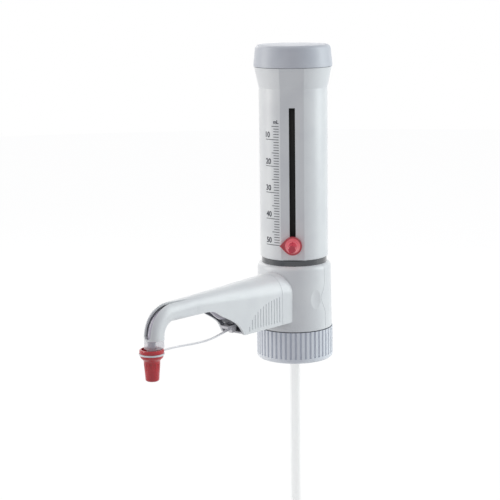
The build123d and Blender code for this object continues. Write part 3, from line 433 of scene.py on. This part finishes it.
inkLook = {
    "fresh": tone(58, 61, 72), "worn": tone(104, 108, 120),
    "wearScale": 1400, "wear": (0.55, 0.85), "wearShare": 0.4,
    "roughness": 0.5, "spread": 0.15,
}


def printInk(name, look):
    finish = Finish(name)
    wear = finish.noise(look["wearScale"], 4, 0.7).between(*look["wear"])
    return finish.end({
        "Base Color": finish.mix(wear * look["wearShare"], look["fresh"], look["worn"]),
        "Roughness": look["roughness"] + wear * look["spread"],
    })


finishes = {
    "white_plastic": mouldedPlastic("whitePlastic", whiteLook),
    "blue_grey_plastic": mouldedPlastic("blueGreyPlastic", blueGreyLook),
    "dark_plastic": mouldedPlastic("darkPlastic", darkLook),
    "dark_seal": rubber("darkSeal", tone(52, 56, 66), tone(70, 74, 84)),
    "white_seal": rubber("whiteSeal", tone(226, 226, 224), tone(208, 208, 206)),
    "clear_glass": clearGlass("clearGlass", glassLook),
    # painted shade: the clear sleeve is a near-black matt skin standing for the shade inside the
    # housing
    "clear_plastic": rubber("shadeSleeve", tone(13, 13, 14), tone(20, 20, 22)),
    "valve_grey": mouldedPlastic("valveGrey", valveShadeLook),
    "tube_grey": mouldedPlastic("tubeGrey", tubeLook),
    "tube_clear": milkyTube("fillingTube", tone(240, 252, 253), tone(250, 255, 255), 0.05),
    "nozzle_plastic": milkyTube("nozzleClear", tone(222, 223, 230), tone(236, 237, 242), 0.42),
    "tether_plastic": mouldedPlastic("tetherPlastic", tetherLook),
    "spring_metal": drawnWire("springWire", wireLook),
    "pointer_red": redPointer("pointerRed", pointerLook),
    "knob_red": mouldedPlastic("knobRed", knobRedLook),
    "cap_red": mouldedPlastic("capRed", capRedLook),
    "ball_ceramic": rubber("ceramicBall", tone(240, 238, 230), tone(226, 224, 216)),
}
ink = printInk("scaleInk", inkLook)
print(len(finishes) + 1, "finishes made")


def dress(piece, finish):
    piece.data.materials.clear()
    piece.data.materials.append(finish)


ownFinishes = {
    "thread_ring": mouldedPlastic("ringPlastic", ringLook, gripFlutes),
    "arm_shell": mouldedPlastic("armPlastic", armLook, armHollow),
}
for subpart in frame["record"]["subparts"]:
    node = subpart["node"]
    dress(nodes[node], ownFinishes.get(node) or finishes[subpart["material_slot"]])
print("CAD nodes dressed")


scaleLook = {
    "radius": 0.0243,  # of the housing
    "zeroHeight": 0.1786,
    "perMillilitre": 0.00187,
    "rightEdge": radians(191.0),  # angle round the main axis
    "firstMark": 5,
    "lastMark": 50,
    "markWidth": 0.00042,
    "shortMark": 0.0042,
    "mediumMark": 0.0058,
    "longMark": 0.0116,
    "numberHeight": 0.0041,
    "numberLift": 0.0011,
    "unitHeight": 0.0026,
    "unitFoot": 0.0018,  # above the first mark
    "film": 0.00005,
    "bolder": 0.026,  # makes the strokes of the numbers stronger
    "narrower": 0.94,
    "bends": 24,  # cuts across the longest mark, so that it follows the housing
}
smooth = radians(40)  # sharpest edge that is shaded round
merging = 0.000001


def activate(*pieces):
    bpy.ops.object.select_all(action="DESELECT")
    for piece in pieces:
        piece.select_set(True)
    bpy.context.view_layer.objects.active = pieces[0]


def flatMark(length, height, look):
    bpy.ops.mesh.primitive_plane_add(size=1, location=(-length / 2, height, 0))
    mark = bpy.context.object
    mark.scale = (length, look["markWidth"], 1)
    bpy.ops.object.transform_apply(location=True, rotation=False, scale=True)
    return mark


def flatText(words, tall, left, foot, look):
    bpy.ops.object.text_add(location=(0, 0, 0))
    text = bpy.context.object
    text.data.body = words
    text.data.resolution_u = 4
    text.data.offset = look["bolder"]
    bpy.ops.object.convert(target="MESH")
    text = bpy.context.object
    start = min(vertex.co.x for vertex in text.data.vertices)
    base = min(vertex.co.y for vertex in text.data.vertices)
    size = tall / (max(vertex.co.y for vertex in text.data.vertices) - base)
    text.scale = (size * look["narrower"], size, 1)
    text.location = (left - start * size * look["narrower"], foot - base * size, 0)
    bpy.ops.object.transform_apply(location=True, rotation=False, scale=True)
    return text


def printScale(look):
    marks = []
    for volume in range(look["firstMark"], look["lastMark"] + 1):
        height = look["zeroHeight"] - volume * look["perMillilitre"]
        if volume % 10 == 0:
            marks.append(flatMark(look["longMark"], height, look))
            foot = height + look["markWidth"] / 2 + look["numberLift"]
            number = flatText(str(volume), look["numberHeight"], -look["longMark"], foot, look)
            marks.append(number)
        else:
            length = look["mediumMark" if volume % 5 == 0 else "shortMark"]
            marks.append(flatMark(length, height, look))
    top = look["zeroHeight"] - look["firstMark"] * look["perMillilitre"] + look["unitFoot"]
    marks.append(flatText("mL", look["unitHeight"], -look["shortMark"], top, look))
    activate(*marks)
    bpy.ops.object.join()
    sheet = bpy.context.object
    sheet.name = "scaleMarks"
    bpy.ops.object.mode_set(mode="EDIT")
    for step in range(1, look["bends"]):
        cut = -step * look["longMark"] / look["bends"]
        bpy.ops.mesh.select_all(action="SELECT")
        bpy.ops.mesh.bisect(plane_co=(cut, 0, 0), plane_no=(1, 0, 0))
    bpy.ops.object.mode_set(mode="OBJECT")
    radius = look["radius"] + look["film"] / 2
    for vertex in sheet.data.vertices:
        angle = look["rightEdge"] + vertex.co.x / look["radius"]
        vertex.co = (radius * cos(angle), radius * sin(angle), vertex.co.y)
    bpy.ops.object.modifier_add(type="SOLIDIFY")
    sheet.modifiers[-1].thickness = look["film"] * 2
    sheet.modifiers[-1].offset = 0
    bpy.ops.object.modifier_apply(modifier=sheet.modifiers[-1].name)
    dress(sheet, ink)
    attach(sheet, "volume_housing")
    print("scale printed,", len(sheet.data.polygons), "faces")


printScale(scaleLook)


tetherLay = {
    # the route's points, in the order that the strip leaves the anchor
    "route": [
        (-0.0751, 0, 0.0343), (-0.0825, 0, 0.0334), (-0.091, 0, 0.032), (-0.101, 0, 0.0313),
        (-0.1125, 0, 0.0318), (-0.125, 0, 0.033), (-0.1375, 0, 0.034), (-0.14715, 0, 0.0342),
    ],
    "width": 0.0014,
    "thickness": 0.0012,
    "rounding": 0.3,  # share of the thickness
    "length": 0.072,
}


def routeLine(points):
    # points along the route's own smooth spline
    curve = bpy.data.curves.new("tetherRoute", "CURVE")
    curve.dimensions = "3D"
    spline = curve.splines.new("NURBS")
    spline.points.add(len(points) - 1)
    for target, place in zip(spline.points, points):
        target.co = (*place, 1)
    spline.order_u = 3
    spline.use_endpoint_u = True
    spline.resolution_u = 12
    holder = bpy.data.objects.new("tetherRoute", curve)
    line = bpy.data.meshes.new_from_object(holder)
    places = [v.co.copy() for v in line.vertices]
    bpy.data.objects.remove(holder)
    return places


def layTether(lay):
    # the strip's rounded section, carried along its route
    line = routeLine(lay["route"])
    bpy.ops.mesh.primitive_plane_add(size=1, location=(0, 0, 0))
    strip = bpy.context.object
    strip.name = "tetherStrip"
    strip.scale = (lay["thickness"], lay["width"], 1)
    bpy.ops.object.transform_apply(location=False, rotation=False, scale=True)
    bpy.ops.object.mode_set(mode="EDIT")
    bpy.ops.mesh.select_all(action="SELECT")
    rounding = lay["thickness"] * lay["rounding"]
    bpy.ops.mesh.bevel(offset=rounding, segments=2, affect="VERTICES")
    bpy.ops.object.mode_set(mode="OBJECT")
    section = [strip.data.vertices[i].co.copy() for i in strip.data.polygons[0].vertices]
    count = len(section)
    across = Vector((0, 1, 0))
    vertices, faces = [], []
    for index, place in enumerate(line):
        ahead = line[min(index + 1, len(line) - 1)] - line[max(index - 1, 0)]
        ahead.normalize()
        up = across.cross(ahead)
        for corner in section:
            vertices.append(place + up * corner.x + across * corner.y)
        if index:
            base = (index - 1) * count
            for side in range(count):
                turn = (side + 1) % count
                faces.append((base + side, base + turn, base + count + turn, base + count + side))
    faces.append(tuple(range(count - 1, -1, -1)))
    last = (len(line) - 1) * count
    faces.append(tuple(range(last, last + count)))
    mesh = bpy.data.meshes.new("tetherStrip")
    mesh.from_pydata(vertices, [], faces)
    strip.data = mesh
    activate(strip)
    bpy.ops.object.mode_set(mode="EDIT")
    bpy.ops.mesh.select_all(action="SELECT")
    bpy.ops.mesh.normals_make_consistent(inside=False)
    bpy.ops.object.mode_set(mode="OBJECT")
    bpy.ops.object.shade_smooth_by_angle(angle=smooth)
    dress(strip, finishes["tether_plastic"])
    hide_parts("tether_strap")
    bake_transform(strip)
    print("tether laid")


layTether(tetherLay)


def pressSpring():
    # a copy of the CAD spring, merged and shaded smooth, fixed to the valve block
    spring = bpy.data.objects.new("valveSpring", nodes["discharge_spring"].data.copy())
    bpy.context.collection.objects.link(spring)
    activate(spring)
    bpy.ops.object.mode_set(mode="EDIT")
    bpy.ops.mesh.select_all(action="SELECT")
    bpy.ops.mesh.remove_doubles(threshold=merging)
    bpy.ops.object.mode_set(mode="OBJECT")
    bpy.ops.object.shade_smooth_by_angle(angle=smooth)
    dress(spring, finishes["spring_metal"])
    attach(spring, "valve_block")
    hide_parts("discharge_spring")
    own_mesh(spring)
    print("valve spring made")


pressSpring()


ringThread = {
    "name": "ringThread", "body": "root", "slot": "blue_grey_plastic",
    "axis": (0, 0), "foot": 0.0012, "pitch": 0.004, "turns": 2.6, "steps": 72,
    "root": 0.0227, "crest": 0.0214, "rootWidth": 0.0026, "crestWidth": 0.0010,
}
nozzleThread = {
    "name": "nozzleThread", "body": "valve_block", "slot": "nozzle_plastic",
    "axis": (-0.157, 0), "foot": 0.0272, "pitch": 0.003, "turns": 2.2, "steps": 32,
    "root": 0.0032, "crest": 0.00352, "rootWidth": 0.0012, "crestWidth": 0.0005,
}


def cutThread(look):
    # a plane with a wide root and a narrow crest, carried round and closed at both ends
    bpy.ops.mesh.primitive_plane_add(size=1, location=(0, 0, 0), rotation=(pi / 2, 0, 0))
    ridge = bpy.context.object
    ridge.name = look["name"]
    bpy.ops.object.transform_apply(location=True, rotation=True, scale=True)
    for vertex in ridge.data.vertices:
        atRoot = (vertex.co.x > 0) == (look["root"] > look["crest"])
        half = (look["rootWidth"] if atRoot else look["crestWidth"]) / 2
        vertex.co = (
            look["root"] if atRoot else look["crest"], 0,
            look["foot"] + look["rootWidth"] / 2 + (half if vertex.co.z > 0 else -half))
    bpy.ops.object.modifier_add(type="SCREW")
    screw = ridge.modifiers[-1]
    screw.angle = 2 * pi * look["turns"]
    screw.screw_offset = look["pitch"] * look["turns"]
    screw.steps = round(look["steps"] * look["turns"])
    screw.render_steps = screw.steps
    bpy.ops.object.modifier_apply(modifier=screw.name)
    bpy.ops.object.mode_set(mode="EDIT")
    bpy.ops.mesh.select_all(action="SELECT")
    bpy.ops.mesh.remove_doubles(threshold=merging)
    bpy.ops.mesh.select_all(action="DESELECT")
    bpy.ops.mesh.select_non_manifold()
    bpy.ops.mesh.edge_face_add()
    bpy.ops.mesh.select_all(action="SELECT")
    bpy.ops.mesh.normals_make_consistent(inside=False)
    bpy.ops.object.mode_set(mode="OBJECT")
    for vertex in ridge.data.vertices:
        vertex.co.x += look["axis"][0]
    dress(ridge, finishes[look["slot"]])
    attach(ridge, look["body"])
    print(look["name"], "cut,", len(ridge.data.polygons), "faces")


cutThread(ringThread)
cutThread(nozzleThread)


backgroundRays = ("Camera", "Glossy", "Transmission")
floorLook = {
    "height": -0.1555, "radius": 3.0, "sides": 96,
    "colour": tone(206, 207, 209), "dust": tone(214, 215, 216), "dustScale": 14,
    "glow": 1.08, "glowShare": 0.88,  # the rest shows the shadow
}
lamps = {
    "leftSoftbox": {
        "place": (-0.70, 0.96, 0.49), "size": (0.5, 1.2), "power": 7.0, "colour": (1, 0.98, 0.93)},
    "rightSoftbox": {
        "place": (0.76, -0.91, 0.49), "size": (0.6, 1.2), "power": 9.0, "colour": (0.93, 1, 0.99)},
    "backSoftbox": {
        "place": (0.42, 0.94, 0.82), "size": (0.5, 1.2), "power": 2.6, "colour": (1, 0.97, 0.92)},
    "rimSoftbox": {
        "place": (1.05, 0.66, 0.42), "size": (0.9, 0.35), "power": 0.6, "colour": (1, 1, 1)},
}
lampAim = (0, 0, 0.1)
surroundings = {"seen": 1.0, "light": 0.46, "colour": (0.95, 0.94, 1)}


def addFloor(look):
    bpy.ops.mesh.primitive_circle_add(
        vertices=look["sides"], radius=look["radius"], fill_type="NGON",
        location=(0, 0, look["height"]))
    floor = bpy.context.object
    floor.name = "floor"
    finish = Finish("paleFloor")
    dust = finish.noise(look["dustScale"], 4)
    colour = finish.mix(dust, look["colour"], look["dust"])
    cover = finish.add("ShaderNodeBsdfDiffuse", {}, {"Color": colour})
    glow = finish.add("ShaderNodeEmission", {}, {"Color": (1, 1, 1, 1), "Strength": look["glow"]})
    share = finish.seenBy(backgroundRays) * look["glowShare"]
    shader = finish.add("ShaderNodeMixShader", {}, {0: share, 1: cover, 2: glow})
    finish.add("ShaderNodeOutputMaterial", {}, {"Surface": shader}, None)
    dress(floor, finish.material)


def addLamp(name, look):
    bpy.ops.object.light_add(type="AREA", location=look["place"])
    lamp = bpy.context.object
    lamp.name = name
    lamp.data.shape = "RECTANGLE"
    lamp.data.size, lamp.data.size_y = look["size"]
    lamp.data.energy = look["power"]
    lamp.data.color = look["colour"]
    away = Vector(look["place"]) - Vector(lampAim)
    lamp.rotation_euler = away.to_track_quat("Z", "Y").to_euler()


def addSurroundings(look):
    # a white room to look at, and a dimmer one that lights the object
    world = bpy.data.worlds.new("paleRoom")
    bpy.context.scene.world = world
    room = Sheet(world)
    seen = {"Color": (1, 1, 1, 1), "Strength": look["seen"]}
    light = {"Color": (*look["colour"], 1), "Strength": look["light"]}
    shader = room.add("ShaderNodeMixShader", {}, {
        0: room.seenBy(backgroundRays),
        1: room.add("ShaderNodeBackground", {}, light),
        2: room.add("ShaderNodeBackground", {}, seen)})
    room.add("ShaderNodeOutputWorld", {}, {"Surface": shader}, None)


addFloor(floorLook)
for lampName, lampLook in lamps.items():
    addLamp(lampName, lampLook)
addSurroundings(surroundings)
bpy.context.scene.view_settings.view_transform = "Standard"
print("floor and lights placed")
